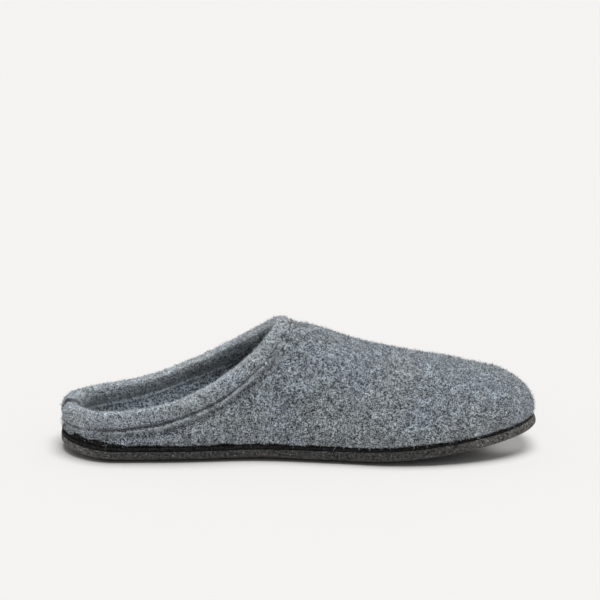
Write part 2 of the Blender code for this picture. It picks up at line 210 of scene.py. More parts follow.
# %% [markdown]
# ## Loops around the last
#
# The sole's outline is two halves that meet at the centre back and at the toe tip. A loop is
# read at even steps of its own length, so that no facet is much longer than another. To move
# a loop inwards we shift each point along its normal, because scaling it would narrow the
# waist more than the ends.

# %% Outline and loops
CURVE_SAMPLES = 600


def half_outline(side, inset, ends):
    """Fine points of one side's outline, from the centre back to the toe tip."""
    turn = np.linspace(0, np.pi, CURVE_SAMPLES)
    x = ends[0] + (ends[1] - ends[0]) * (1 - np.cos(turn)) / 2
    across = closing(x, side, ends)
    return x, SIGN[side] * across * (read(PLAN, side, x) - inset), across


def lengths(*coordinates):
    """Length along a curve up to each of its points."""
    steps = np.sqrt(sum(np.diff(c) ** 2 for c in coordinates))
    return np.concatenate(([0], np.cumsum(steps)))


def around(medial, lateral):
    """One closed loop of both halves: centre back, inner side, toe tip, outer side."""
    return np.concatenate((medial, lateral[-2:0:-1]))


def loop_normals(loop):
    """Outward unit normals of a closed loop in plan."""
    along = np.roll(loop, -1, axis=0) - np.roll(loop, 1, axis=0)
    return unit(np.stack((along[:, 1], -along[:, 0]), axis=1))


def sole_loop(inset, stations):
    """The sole's outline moved in by the inset."""
    halves = []
    for side in SIGN:
        x, y, _ = half_outline(side, 0, SOLE_ENDS)
        way = lengths(x, y)
        at = np.linspace(0, way[-1], stations + 1)
        halves.append(np.stack((np.interp(at, way, x), np.interp(at, way, y)), axis=1))
    loop = around(*halves)
    return loop - inset * loop_normals(loop)


# %% Where the last stands in the frame
outsole_low = np.array(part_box("outsole")[0]) / MM
ORIGIN = np.array([
    outsole_low[0] - HEEL_END,
    outsole_low[1] - half_outline("medial", 0, SOLE_ENDS)[1].min(),
    0,
])
print("the last's origin in the frame, mm:", ORIGIN.round(2))

# %% [markdown]
# ## From numbers to a mesh
#
# Every surface here is a grid: loops stacked along another direction. A helper turns such a
# grid into a mesh, moves it from the last to the frame and turns millimetres into metres.
# Numbers that the finish needs later, such as how dark a groove is, are stored on the points
# as attributes, and a shader reads them by name.

# %% Mesh helpers
def add_object(name, data):
    """An object that holds the data, linked into the scene."""
    ob = bpy.data.objects.new(name, data)
    bpy.context.scene.collection.objects.link(ob)
    return ob


def add_mesh(name, points, faces, attributes=None):
    """A mesh object from points in the last's millimetres."""
    mesh = bpy.data.meshes.new(name)
    mesh.from_pydata(((points.reshape(-1, 3) + ORIGIN) * MM).tolist(), [], faces)
    work = bmesh.new()
    work.from_mesh(mesh)
    bmesh.ops.recalc_face_normals(work, faces=work.faces)
    work.to_mesh(mesh)
    work.free()
    for key, values in (attributes or {}).items():
        layer = mesh.attributes.new(key, "FLOAT", "POINT")
        layer.data.foreach_set("value", np.asarray(values, dtype=np.float32).ravel())
    mesh.shade_smooth()
    print(name, "has", sum(len(f) - 2 for f in faces), "triangles")
    return add_object(name, mesh)


def grid_faces(rows, columns, close_rows, close_columns):
    """Faces of a grid of rows by columns, closed around in one or both directions."""
    r = np.arange(rows if close_rows else rows - 1)
    c = np.arange(columns if close_columns else columns - 1)
    r, c = (a.ravel() for a in np.meshgrid(r, c, indexing="ij"))
    r2, c2 = (r + 1) % rows, (c + 1) % columns
    quads = np.stack((r * columns + c, r * columns + c2, r2 * columns + c2, r2 * columns + c))
    return quads.T.tolist()


def grid_normals(grid):
    """Outward unit normals of a grid of columns around and rows down."""
    around_step = np.roll(grid, -1, axis=0) - np.roll(grid, 1, axis=0)
    return unit(np.cross(np.gradient(grid, axis=1), around_step))


def lumps(points, size, seed):
    """Soft noise between about -1 and 1, with lumps of about the given size in millimetres."""
    shape = points.shape[:-1]
    places = points.reshape(-1, 3) / size + seed * 17.3
    return np.array([noise.noise(Vector(p)) for p in places]).reshape(shape)


# %% [markdown]
# ## The felt wall
#
# Boiled-wool felt is shrunk until it is 3 mm thick and stiff, so the upper is one wall with
# an outside, an inside and a rolled edge below. Its outer form is an arch at each section.
# Columns run down it from the collar to the sole, each straight in plan. Their upper ends are
# spread along the collar by length, which keeps them nearly square to it, so a seam that
# follows the collar is simply a row of the grid.

# %% Points of the form
def form_point(x, across, side):
    """Point of the outer form at x and at a share of the half breadth."""
    closed = closing(x, side, UPPER_ENDS)
    reach = np.clip(across / np.maximum(closed, 1e-9), 0, 1)
    arch = (1 - reach ** read(FORM, "squareness", x)) ** 0.5
    y = SIGN[side] * across * (read(PLAN, side, x) - FEATHER_INSET)
    return np.stack((x, y, ground(x) + FEATHER + form_height(x) * arch), axis=-1)


def rim_line(side):
    """The wall's upper edge on one side, as x and share of the half breadth, with lengths."""
    x = np.linspace(UPPER_ENDS[0], BACK_SEAM_END, CURVE_SAMPLES * 10)
    height = form_point(x, np.zeros_like(x), "medial")[:, 2]
    back = x[np.argmax(height >= read(TOPLINE, "medial", x))]
    turn = np.linspace(0, np.pi, CURVE_SAMPLES)
    x = back + (TOPLINE["x"][-1] - back) * (1 - np.cos(turn)) / 2
    rise = read(TOPLINE, side, x) - ground(x) - FEATHER
    level = np.clip(rise / np.maximum(form_height(x), 1e-9), 0, 1)
    reach = (1 - level ** 2) ** (1 / read(FORM, "squareness", x))
    across = reach * closing(x, side, UPPER_ENDS)
    across[0] = across[-1] = 0
    return x, across, lengths(*form_point(x, across, side).T)


def wall_half(side, shares):
    """Columns of one side, with rows close below the collar and spread below them."""
    x, y, across = half_outline(side, FEATHER_INSET, UPPER_ENDS)
    way = lengths(x, y)
    rim_x, rim_a, rim_way = rim_line(side)
    down = 1 - (1 - np.linspace(0, 1, CURVE_SAMPLES)) ** 2
    columns = []
    for share in shares:
        foot_x, foot_a = (np.interp(share * way[-1], way, v) for v in (x, across))
        rim = share * (1.7 - 0.7 * share) * rim_way[-1]
        start_x, start_a = (np.interp(rim, rim_way, v) for v in (rim_x, rim_a))
        line = form_point(start_x + (foot_x - start_x) * down,
                          start_a + (foot_a - start_a) * down, side)
        line_way = lengths(*line.T)
        seam = float(read(SEAM, "distance", line[0, 0]))
        near = ROWS_TO_SEAM * seam
        far = 1 - (1 - np.linspace(0, 1, WALL_ROWS + 1)[1:]) ** ROW_POWER
        rows = np.concatenate((near, near[-1] + (line_way[-1] - near[-1]) * far))
        points = [np.interp(rows, line_way, line[:, k]) for k in range(3)]
        columns.append(np.stack((*points, rows, np.full_like(rows, seam)), axis=1))
    return np.array(columns)


# %% The grid of the wall
ROW_STEP = 0.04
ROWS_TO_SEAM = np.arange(0, 1.41, ROW_STEP)
WALL_ROWS = 60
ROW_POWER = 1.25
HALF_COLUMNS = 235
FINE_COLUMNS = np.arange(0, 6, 0.35)
VALLEY_DEPTH, VALLEY_WIDTH, VALLEY_RISE = 0.9, 2.2, 10


def back_distance(points):
    """Distance in Y from the join at the back, and large away from the back."""
    return np.where(points[..., 0] < BACK_SEAM_END, np.abs(points[..., 1] - BACK_SEAM_Y), 99)


def column_shares(side):
    """Places of the columns: even steps, and finer ones at the join of the band."""
    shares = np.linspace(0, 1, HALF_COLUMNS + 1)
    x, y, _ = half_outline(side, FEATHER_INSET, UPPER_ENDS)
    fine = FINE_COLUMNS / lengths(x, y)[-1]
    return np.concatenate((fine, shares[shares > fine[-1] + 0.001]))


both = around(*[wall_half(side, column_shares(side)) for side in SIGN])
form_grid, collar_distance, seams = both[:, :, :3], both[:, :, 3], both[:, 0, 4]
past_seam = collar_distance - seams[:, None]
rise = form_grid[:, :, 2] - ground(form_grid[:, :, 0]) - FEATHER
swell_share = np.clip(rise, 0, None) / BULGE_HEIGHT
swell = BULGE * read(SWELL, "share", form_grid[:, :, 0]) * swell_share * np.exp(1 - swell_share)
valley = VALLEY_DEPTH * bell(back_distance(form_grid), 0, VALLEY_WIDTH)
valley *= np.clip(rise / VALLEY_RISE, 0, 1)
form_grid = form_grid + grid_normals(form_grid) * (swell - valley)[:, :, None]
form_normals = grid_normals(form_grid)
column_x = form_grid[:, :1, 0]
print("wall grid:", form_grid.shape[:2], "columns and rows")

# %% [markdown]
# ## Lumps, dents and the raised seam
#
# Felt that was shaped wet is never even. Three sizes of soft noise lift and sink the outside
# by a few tenths of a millimetre. The seam below the band is a felt cord about 3 mm wide
# between two shallow grooves. Noise could make the dents as well, but the few that the eye
# remembers, such as the dip behind the ball, are listed one by one. The points also carry
# what the finish needs: where the black has crept up, the painted shade in the grooves, the
# painted highlight on the crests of the cord and the lining seam, the painted light inside
# the heel, and the painted shade deep inside the throat.

# %% Relief of the outside
HAND_DENTS = (
    # x, y, z, radius, depth
    (112, -33, 20, 20, 0.7), (166, -36, 16, 13, 0.5), (205, 44, 24, 20, 0.5),
    (150, -18, 62, 16, 0.4), (232, 6, 50, 18, 0.5), (120, 38, 26, 20, 0.6))
CORD, CORD_WIDTH = 1.7, 1.1
GROOVE, GROOVE_BELOW, GROOVE_WIDTH = 0.9, 2.9, 1.3
GROOVE_ABOVE, FILL_WIDTH = 1.7, 1.2
# Shares along the collar: cord scales the cord's height and its painted shade and highlight, upper
# scales the painted shade in the groove above it, and fill scales the felt that fills that groove.
SEAM_GAIN = table(
    ("x", "cord", "upper", "fill"),
    (0, 0.3, 0.2, 0), (13, 0.35, 0.2, 0), (23, 0.5, 1, 0), (38, 0.75, 1, 0),
    (60, 1, 1, 0), (90, 0.85, 0.9, 0.3), (106, 0.75, 0.5, 0.9), (118, 0.6, 0.15, 1.5),
    (129, 0.5, 0.05, 1.6))
cord_share = read(SEAM_GAIN, "cord", column_x)
cord = CORD * bell(past_seam, 0, CORD_WIDTH)
cord -= GROOVE * bell(past_seam, GROOVE_BELOW, GROOVE_WIDTH)
fill = read(SEAM_GAIN, "fill", column_x) * bell(past_seam, -GROOVE_ABOVE, FILL_WIDTH)
cord = cord * cord_share * (1 + 0.5 * lumps(form_grid, 6, 3)) + fill
relief = 0.42 * lumps(form_grid, 26, 1) + 0.22 * lumps(form_grid, 11, 2)
relief += 0.10 * lumps(form_grid, 4, 4)
for x, y, z, radius, depth in HAND_DENTS:
    away = np.linalg.norm(form_grid - np.array([x, y, z]), axis=2)
    relief -= depth * bell(away, 0, radius)
relief *= smooth(0, 6, rise)
outside = form_grid + form_normals * (relief + cord)[:, :, None]
print("relief from", round(float(relief.min()), 2), "to", round(float(relief.max()), 2), "mm")

# %% The black that has crept up the edge of the felt
LIP = table(
    ("x", "height"), (0, 1.4), (3, 1.8), (6, 2.9), (8, 3.9), (10, 4.5), (12, 4.2), (14, 3.3),
    (18, 3.6), (22, 4.3), (26, 3.9), (30, 2.6), (36, 1.8), (50, 1.5), (90, 1.4), (120, 1.2),
    (160, 1.4), (195, 1.5), (222, 1.4), (240, 0.8), (280, 0.6))


def black_creep(grid, height):
    """How far a point lies under the black's upper edge, in millimetres."""
    lip = read(LIP, "height", grid[..., 0])
    lip = np.where(grid[..., 1] < 0, lip, np.minimum(lip, 1))
    return lip + 0.6 * lumps(grid, 5, 5) + 0.85 * lumps(grid, 2.2, 6) - height


# %% The upper as one closed wall
LINING_SEAM, LINING_DEPTH, LINING_WIDTH = 9.6, 1.2, 0.9
# Share along the last of the painted light that brightens the inside of the heel.
HEEL_INSIDE_LIGHT = table(("x", "share"), (0, 1), (46, 1), (64, 0.6), (90, 0.4), (115, 0), (160, 0))


def both_faces(outer, inner):
    """Grids of the outside and, turned round, of the inside as one closed wall."""
    return np.concatenate((outer, inner[:, ::-1]), axis=1)


inner_rows = np.arange(0, form_grid.shape[1], 2)
inner_rows[-1] = form_grid.shape[1] - 1
inside = (form_grid - form_normals * WALL)[:, inner_rows]
inside_relief = 0.2 * lumps(inside, 14, 6) * smooth(0, 8, rise[:, inner_rows])
inner_distance = collar_distance[:, inner_rows]
lining_seam = bell(inner_distance, LINING_SEAM, LINING_WIDTH)
inside_relief -= LINING_DEPTH * lining_seam
inside = inside + form_normals[:, inner_rows] * inside_relief[:, :, None]
for face, inset in ((outside, FEATHER_INSET), (inside, FEATHER_INSET + WALL)):
    face[:, -1, 2] = ground(face[:, -1, 0]) + INSOLE_BOTTOM + curl(inset)
wall_points = both_faces(outside, inside)

# %% What the finish of the upper needs to know
nowhere = np.zeros(outside.shape[:2])
creep = both_faces(black_creep(outside, rise), np.full(inside.shape[:2], -9))
# Painted shade: the colour darkens the grooves above and below the cord, and two lines on the
# inside under the band's edge.
groove_shade = read(SEAM_GAIN, "upper", column_x) * bell(past_seam, -GROOVE_ABOVE, 0.6)
groove_shade += 0.5 * cord_share * bell(past_seam, GROOVE_BELOW, 1.1)
inner_groove_shade = 1.3 * bell(inner_distance, 7.9, 0.9) + 0.6 * bell(inner_distance, 11.4, 1.1)
groove_shade = both_faces(groove_shade, inner_groove_shade)
# Painted highlight: the colour is lighter along the cord's crest and, inside, along the lining
# seam's ridge.
crest_highlight = cord_share * bell(past_seam, 0, 0.9) * (1 - 0.85 * smooth(98, 116, column_x))
crest_highlight = both_faces(crest_highlight, 0.7 * lining_seam)
# Painted light: the colour inside the heel is made lighter.
inside_light = both_faces(nowhere, read(HEEL_INSIDE_LIGHT, "share", inside[:, :, 0]))
# Painted shade: the colour deep inside the throat is made darker.
deep_shade = both_faces(nowhere, smooth(86, 112, inside[:, :, 0]))
upper = add_mesh(
    "felt_upper",
    wall_points,
    grid_faces(*wall_points.shape[:2], True, True),
    {"creep": creep, "groove_shade": groove_shade, "crest_highlight": crest_highlight, "inside_light": inside_light, "deep_shade": deep_shade},
)

# %% [markdown]
# ## The band over the collar
#
# The band is a felt strip folded over the wall's edge, about 12 mm deep outside and 10 mm
# inside. Its section is a thick U. We sweep that section along the collar: each point of it
# is given as a distance out from the middle of the wall and a height over the wall's edge,
# and the columns of the wall's grid carry it around. A curve with a bevel could not do this,
# because the section has to lean with the wall.
#
# The strip's two ends meet at the back of the heel. Seen from the side, a slit between them
# would be hidden edge on. So the near end rounds down towards the join and the far end stands
# up behind it like a low step, which shows as a thin dark arch.

# %% Section of the band
BAND_OUTSIDE = (
    # offset, height, and the part of the height that is a share of the seam's distance
    (1.8, 0, -0.83), (2.4, 0, -0.84), (3, 0, -0.79), (3.7, 0, -0.64), (4.1, 0, -0.40),
    (4.2, 0, -0.12), (3.7, 1.6, 0), (2.3, 2.8, 0), (0.1, 3.2, 0), (-2.2, 2.8, 0),
    (-3.7, 1.6, 0), (-4.4, -0.4, 0), (-4.4, -3, 0), (-4, -5.6, 0), (-3.2, -7.2, 0),
    (-1.9, -7, 0),
)
BAND_SEAT = (
    (-1.9, -3.4, 0), (-1.9, 0.3, 0), (1.9, 0.3, 0), (1.9, 0, -0.35), (1.9, 0, -0.65),
)
BAND_STEPS = 4


def soft_curve(points, steps):
    """A curve through the points, with steps points on each stretch."""
    p = np.array(points, dtype=float)
    p = np.concatenate(([2 * p[0] - p[1]], p, [2 * p[-1] - p[-2]]))
    t = np.arange(steps)[:, None] / steps
    run = []
    for a, b, c, d in zip(p, p[1:], p[2:], p[3:]):
        curve = 2 * b + (c - a) * t + (2 * a - 5 * b + 4 * c - d) * t ** 2
        run.append((curve + (3 * b - a - 3 * c + d) * t ** 3) / 2)
    return np.concatenate(run + [points[-1:]])


band_section = np.concatenate((soft_curve(BAND_OUTSIDE, BAND_STEPS), np.array(BAND_SEAT)))
print("band section:", len(band_section), "points")

# %% The band around the collar
wall_middle = form_grid - form_normals * WALL / 2
column = np.arange(len(seams))


def band_ring(offset, height, seam_share=0):
    """Loop of points of the band: out from the wall's middle, and up or down from its edge."""
    up = height + seam_share * seams
    row = np.clip(-up / (ROW_STEP * seams), 0, len(ROWS_TO_SEAM) - 2)
    low = row.astype(int)
    share = (row - low)[:, None]
    place = wall_middle[column, low] * (1 - share) + wall_middle[column, low + 1] * share
    out = form_normals[column, low] * (1 - share) + form_normals[column, low + 1] * share
    upward = unit(wall_middle[:, 0] - wall_middle[:, 3])
    return place + out * offset + upward * np.clip(up, 0, None)[:, None]


band_points = np.stack([band_ring(*row) for row in band_section], axis=1)
shown = len(band_section) - len(BAND_SEAT)
band_normals = grid_normals(band_points[:, :shown])
if np.sum(band_normals[:, shown // 3] * form_normals[:, 0]) < 0:
    band_normals = -band_normals
print("band of", len(seams), "columns,", shown, "of its", len(band_section), "rows show")

# %% Padding and the join at the back
END_DROP = 2.8
END_ROUND, END_STEP = 6.8, 0.35
HEEL_PAD, HEEL_TRIM = 2.2, 0.4
cover = band_points[:, :shown]  # a view, so moving it moves the band
padding = 0.34 * lumps(cover, 9, 7) + 0.16 * lumps(cover, 4, 8)
from_join = cover[:, :, 1] - BACK_SEAM_Y
at_back = cover[:, :, 0] < BACK_SEAM_END
reach = np.where(from_join < 0, END_ROUND, END_STEP)
padding -= END_DROP * np.where(at_back, bell(from_join, 0, reach), 0)
offsets, heights, seam_parts = band_section.T
at_heel = 1 - smooth(1, 20, column_x)
padding += HEEL_PAD * np.clip(-offsets[:shown] / 4.4, 0, 1) * at_heel
padding -= HEEL_TRIM * np.clip(offsets[:shown] / 4.2, 0, 1) * at_heel
loose = np.minimum(1, np.minimum(np.arange(shown), np.arange(shown)[::-1]) / 5)
cover += band_normals * (padding * loose)[:, :, None]

# %% Painted highlight on the fold; painted shade in the join, on the lower and inner sides and under the edge
# How strong the painted highlight on the fold is, along the collar.
HIGHLIGHT_GAIN = table(
    ("x", "gain"), (0, 0.8), (20, 0.9), (60, 0.8), (100, 1), (112, 1.3), (129, 1.2))
band_x, band_y = band_points[:, :1, 0], band_points[:, :1, 1]
behind = smooth(BACK_SEAM_Y, BACK_SEAM_Y + 3, band_y)
fold_highlight = bell(offsets, -0.5, 2.8) * (heights > 1) * read(HIGHLIGHT_GAIN, "gain", band_x)
fold_highlight = fold_highlight * (1 - behind * (1 - 0.45 * smooth(14, 40, band_x)))
flat_heel = 0.25 + 0.75 * smooth(10, 26, band_x)
# Painted shade: the outside of the band darkens towards its lower edge, and its edge turned under
# is darker still, less so at the heel.
low_side_shade = np.clip(-seam_parts / 0.84, 0, 1) ** 1.3 * flat_heel
under_edge_shade = smooth(0.70, 0.80, -seam_parts) * flat_heel
shaded = smooth(2.2, 4, -offsets) * (0.5 + 0.5 * smooth(30, 80, band_x))
cut_edge = bell(offsets, -3.2, 0.9) * bell(heights, -7.2, 1) * (seam_parts == 0)
# Painted shade in the slit where the band's ends meet.
join_shade = np.zeros(band_points.shape[:2])
beyond = np.where(from_join < 0.2, 0.5, 1.3)
join_shade[:, :shown] = np.where(at_back, bell(from_join, 0.2, beyond), 0)
join_shade[:, :shown] *= smooth(-0.80, -0.55, seam_parts[:shown])
band = add_mesh(
    "felt_band",
    band_points,
    grid_faces(*band_points.shape[:2], True, True),
    {"join_shade": join_shade, "crest_highlight": fold_highlight,
     "cut_edge": np.broadcast_to(cut_edge, band_points.shape[:2]),
     "low_side_shade": low_side_shade, "under_edge_shade": under_edge_shade, "shaded": shaded},
)

# %% [markdown]
# ## The sole
#
# The outsole is a thin sheet of rubber crumb, dished up at its edge, and the black layer is a
# second sheet glued on it. Each is a stack of loops: along the underside, round the edge and
# back over the top. The underside carries shallow grooves across, so it is cut as a grid too.
# At the toe tip the loops are drawn back a little under the felt, and both ends of the
# outsole carry an attribute on which the finish paints them lighter, as painted light.

# %% Stacks of sole loops
SOLE_STATIONS = 260
CAP_STEPS = 44
TUCK_START = 250


def sole_ring(inset, height, bevel=0, thicker=0, wobble=0, seed=9, tuck=0):
    """A loop of the sole at a height over the lifted ground line, tucked in at the toe tip."""
    loop = sole_loop(inset, SOLE_STATIONS)
    x = loop[:, 0]
    beveled = bevel * TOE_BEVEL * smooth(TOE_BEVEL_START, LENGTH, x)
    z = ground(x) + height + beveled + thicker * read(THICKER, "outsole", x)
    ring = np.column_stack((loop, z))
    ring[:, 0] -= tuck * smooth(TUCK_START, LENGTH, x)
    if wobble:
        ring[:, :2] += loop_normals(loop) * (wobble * lumps(ring, 5, seed))[:, None]
    return ring


def cap_points(ring, depth=None):
    """Points across the inside of a ring, from its inner side to its outer side."""
    count = len(ring)
    medial = ring[1:count // 2]
    lateral = ring[:count // 2:-1]
    t = np.linspace(0, 1, CAP_STEPS + 1)[1:-1, None, None]
    points = medial[None] * (1 - t) + lateral[None] * t
    if depth is not None:
        points[:, :, 2] += depth(points)
    return points


def cap_faces(ring_start, count, cap_start):
    """Faces between a ring and the points across it."""
    half = count // 2
    index = np.empty((CAP_STEPS + 1, half - 1), dtype=int)
    index[0] = ring_start + np.arange(1, half)
    index[-1] = ring_start + count - np.arange(1, half)
    index[1:-1] = cap_start + np.arange((CAP_STEPS - 1) * (half - 1)).reshape(CAP_STEPS - 1, -1)
    faces = np.stack((index[:-1, :-1], index[:-1, 1:], index[1:, 1:], index[1:, :-1]), axis=2)
    faces = faces.reshape(-1, 4).tolist()
    faces.append([ring_start] + index[:, 0].tolist())
    faces.append([ring_start + half] + index[::-1, -1].tolist())
    return faces


def sole_sheet(name, rings, bottom_depth=None, top_depth=None, attributes=None):
    """A closed sheet from a stack of rings, with a grid across its underside and its top."""
    count = len(rings[0])
    points = np.concatenate(rings)
    faces = grid_faces(len(rings), count, False, True)
    for ring, start, depth in ((rings[0], 0, bottom_depth),
                               (rings[-1], (len(rings) - 1) * count, top_depth)):
        cap = cap_points(ring, depth)
        faces += cap_faces(start, count, len(points))
        points = np.concatenate((points, cap.reshape(-1, 3)))
    values = {key: make(points) for key, make in (attributes or {}).items()}
    return add_mesh(name, points, faces, values)


# %% The outsole with its tread
TREAD_PITCH, TREAD_DEPTH, TREAD_WAVE = 6.5, 0.55, 2.2


def tread(points):
    """Depth of the shallow waved grooves across the underside."""
    x, y = points[..., 0], points[..., 1]
    wave = np.abs(((x + TREAD_WAVE * np.sin(y / 5)) / TREAD_PITCH) % 1 - 0.5)
    cut = smooth(0.36, 0.44, wave)
    fade = smooth(0, 0.08, np.linspace(0, 1, points.shape[0] + 2)[1:-1])[:, None]
    fade = fade * fade[::-1]
    return TREAD_DEPTH * cut * fade


outsole_rings = [sole_ring(i, curl(i), 1) for i in (CURL_REACH, 11, 9, 7, 5, 3.5, 2.2, 1.3)]
outsole_rings += [sole_ring(0.6, curl(0.6) + 0.35, 1, 0, 0.08)]
outsole_rings += [sole_ring(0.15, CURL + 0.8, 0.95, 0, 0.10)]
outsole_rings += [sole_ring(0, CURL + 0.8 + 3.6 * t, 1 - t, t, 0.12, tuck=1.3 * t * t)
                  for t in (0.2, 0.4, 0.6, 0.8, 1)]
outsole_rings += [sole_ring(0.2, OUTSOLE_TOP + CURL - 0.15, 0, 1, 0.10, tuck=1.4)]
outsole_rings += [sole_ring(i, OUTSOLE_TOP + curl(i), 0, 1, tuck=1.4)
                  for i in (0.9, 4, 8, CURL_REACH)]


def end_light(points):
    """Where light is painted on the rubber: its two ends are made lighter."""
    return 0.75 * smooth(228, 248, points[:, 0]) + 1 - smooth(8, 34, points[:, 0])


outsole = sole_sheet("rubber_outsole", outsole_rings, tread, attributes={"end_light": end_light})

# %% The black layer
black_rings = [sole_ring(i, MIDSOLE_BOTTOM + curl(i), 0, 1, tuck=1.6)
               for i in (CURL_REACH, 8, 4, 1.2)]
black_rings += [sole_ring(0.5, MIDSOLE_BOTTOM + curl(0.3) + 0.05 + 2.15 * t, 0, 1 - t, 0.22, 11,
                          1.6 + 0.8 * t) for t in (0, 0.25, 0.5, 0.75, 1)]
black_rings += [sole_ring(1.3, MIDSOLE_TOP + curl(1.3) + 0.02, tuck=2.4)]
black_rings += [sole_ring(i, MIDSOLE_TOP + curl(i), tuck=2.4) for i in (4, 8, CURL_REACH)]
black_layer = sole_sheet("black_layer", black_rings)

# %% [markdown]
# ## The insole
#
# A thin pad of the same felt lies inside, cupped at its edge. Wear presses it down a little
# under the heel and the ball, which the light shows even through the narrow collar.

# %% The insole
PRESSED = ((36, 0, 22, 0.5), (188, 8, 30, 0.45))


def insole_wear(points):
    """Shallow hollows where the foot rests, and the felt's own lumps."""
    depth = 0.15 * lumps(points, 16, 12)
    for x, y, radius, hollow in PRESSED:
        away = np.hypot(points[..., 0] - x, points[..., 1] - y)
        depth = depth - hollow * bell(away, 0, radius)
    return depth


def insole_ring(inset, height):
    """A loop of the insole, which stops short of the wall at the toe."""
    ring = sole_ring(inset, height)
    ring[:, 0] -= INSOLE_TOE_INSET * smooth(INSOLE_TOE_START, LENGTH, ring[:, 0])
    return ring


insole_rings = [insole_ring(i, INSOLE_BOTTOM + curl(i)) for i in (CURL_REACH, INSOLE_INSET + 0.8)]
insole_rings += [insole_ring(INSOLE_INSET + 0.1, INSOLE_BOTTOM + curl(INSOLE_INSET) + 0.5)]
insole_rings += [insole_ring(INSOLE_INSET + inset, INSOLE_TOP + height) for inset, height in (
    (0, -1.6), (0.1, -0.5), (0.5, 0.15), (1.2, 0.45), (2.5, 0.5), (5, 0.35), (8, 0.15),
    (11, 0))]
insole = sole_sheet("felt_insole", insole_rings, top_depth=insole_wear)

# %% [markdown]
# ## Nap
#
# Close up, felt is a mat of fine wool hairs. Most lie flat, some stand off, and against a
# white ground they blur the slipper's edge. Blender's hair would do this too, but thin ribbons
# joined in one mesh can be exported. Each ribbon starts on the surface, leans over and bends,
# and carries a number for its shade. Fewer start in the grooves, at the join and on the
# black, because a mat of hairs would hide them.

# %% Hairs on a grid
rng = np.random.default_rng(7)


def scatter(grid, normals, count, weight):
    """Random places on a closed grid, even by area, with their normals."""
    next_column = np.roll(grid, -1, axis=0)
    a, b = grid[:, :-1], next_column[:, :-1]
    d = grid[:, 1:]
    area = np.linalg.norm(np.cross(b - a, d - a), axis=2) * weight[:, :-1]
    chosen = rng.choice(area.size, count, p=(area / area.sum()).ravel())
    u, v = np.unravel_index(chosen, area.shape)
    s, t = rng.random((2, count, 1))
    place = a[u, v] + (b[u, v] - a[u, v]) * s + (d[u, v] - a[u, v]) * t
    return place, normals[u, v]


def ribbons(name, roots, normals, long_low, long_high, width):
    """Thin bent ribbons that start at the roots."""
    count = len(roots)
    length = rng.uniform(long_low, long_high, (count, 1))
    lean = rng.normal(size=(count, 3))
    lean = unit(lean - normals * np.sum(lean * normals, axis=1, keepdims=True))
    turn = np.cross(normals, lean) * rng.normal(0, 0.5, (count, 1))
    up = rng.uniform(0, 1, (count, 1)) ** 2
    p0 = roots - normals * 0.15
    p1 = roots + length * (normals * (0.12 + 0.5 * up) + lean * 0.45)
    p2 = roots + length * (normals * (0.10 + 0.95 * up) + lean * 0.8 + turn * 0.5)
    wide = np.cross(normals, lean) + normals * rng.normal(0, 0.5, (count, 1))
    wide *= rng.uniform(0.6, 1.4, (count, 1)) * width / 2 / np.linalg.norm(
        wide, axis=1, keepdims=True)
    points = np.stack((p0 - wide, p0 + wide, p1 - wide, p1 + wide, p2), axis=1)
    first = np.arange(count)[:, None] * 5
    quads = (first + np.array([0, 1, 3, 2])).tolist()
    tips = (first + np.array([2, 3, 4])).tolist()
    tone = np.repeat(rng.random(count), 5)
    return add_mesh(name, points, quads + tips, {"tone": tone})


# %% Hairs of the upper and the band
UPPER_HAIRS = 60000
BAND_HAIRS = 34000
on_outside = outside.shape[1]
below_band = smooth(-1.2, -0.2, past_seam) * (1 - 0.7 * np.clip(groove_shade[:, :on_outside], 0, 1))
below_band *= 1 - 0.93 * smooth(-0.6, 0.5, creep[:, :on_outside])
roots, root_normals = scatter(outside, grid_normals(outside), UPPER_HAIRS, below_band)
upper_nap = ribbons("upper_nap", roots, root_normals, 0.8, 2.4, 0.16)
bare = np.where(at_back, bell(from_join, 0, 3), 0)
kept_hairs = (1 - bare) * (1 - smooth(0.45, 0.75, -seam_parts[:shown]))
kept_hairs *= 1 - 0.45 * np.clip(fold_highlight[:, :shown], 0, 1)
roots, root_normals = scatter(cover, band_normals, BAND_HAIRS, kept_hairs)
band_nap = ribbons("band_nap", roots, root_normals, 0.7, 2, 0.15)

# %% [markdown]
# ## Stitches
#
# The band is sewn through the wall in the groove above the raised seam, and whipped along
# its inner edge. The thread has nearly the wool's colour, so the stitches read as a broken
# line. Each stitch is a short bent tube.

# %% Threads
THREAD_SIDES = 6


def tube(path, radii):
    """Points of a round tube along a short path."""
    along = unit(np.gradient(path, axis=0))
    helper = [0, 0, 1] if abs(along[0, 2]) < 0.8 else [1, 0, 0]
    first = unit(np.cross(along, helper))
    second = np.cross(along, first)
    angle = np.arange(THREAD_SIDES)[:, None] / THREAD_SIDES * 2 * np.pi
    ring = first[:, None] * np.cos(angle) + second[:, None] * np.sin(angle)
    return path[:, None] + ring * radii[:, None, None]


def thread_mesh(name, paths, radius):
    """One mesh of many stitches, each a tube with closed ends."""
    steps = len(paths[0])
    size = steps * THREAD_SIDES
    radii = radius * np.array([0.45] + [1] * (steps - 2) + [0.45])
    points = np.concatenate([tube(path, radii).reshape(-1, 3) for path in paths])
    pattern = grid_faces(steps, THREAD_SIDES, False, True)
    pattern += [list(range(THREAD_SIDES)), list(range(size - THREAD_SIDES, size))]
    faces = [[start + i for i in face] for start in range(0, len(points), size) for face in pattern]
    return add_mesh(name, points, faces)


def even_steps(loop, pitch):
    """Lengths along a closed loop, and the starts of even steps."""
    way = lengths(*np.concatenate((loop, loop[:1])).T)
    count = int(way[-1] / pitch)
    return way, np.arange(count) * way[-1] / count


def loop_reader(loop, way):
    """A function that reads points of a closed loop at lengths along it."""
    closed = np.concatenate((loop, loop[:1]))
    return lambda at: np.stack([np.interp(at, way, c, period=way[-1]) for c in closed.T], axis=-1)


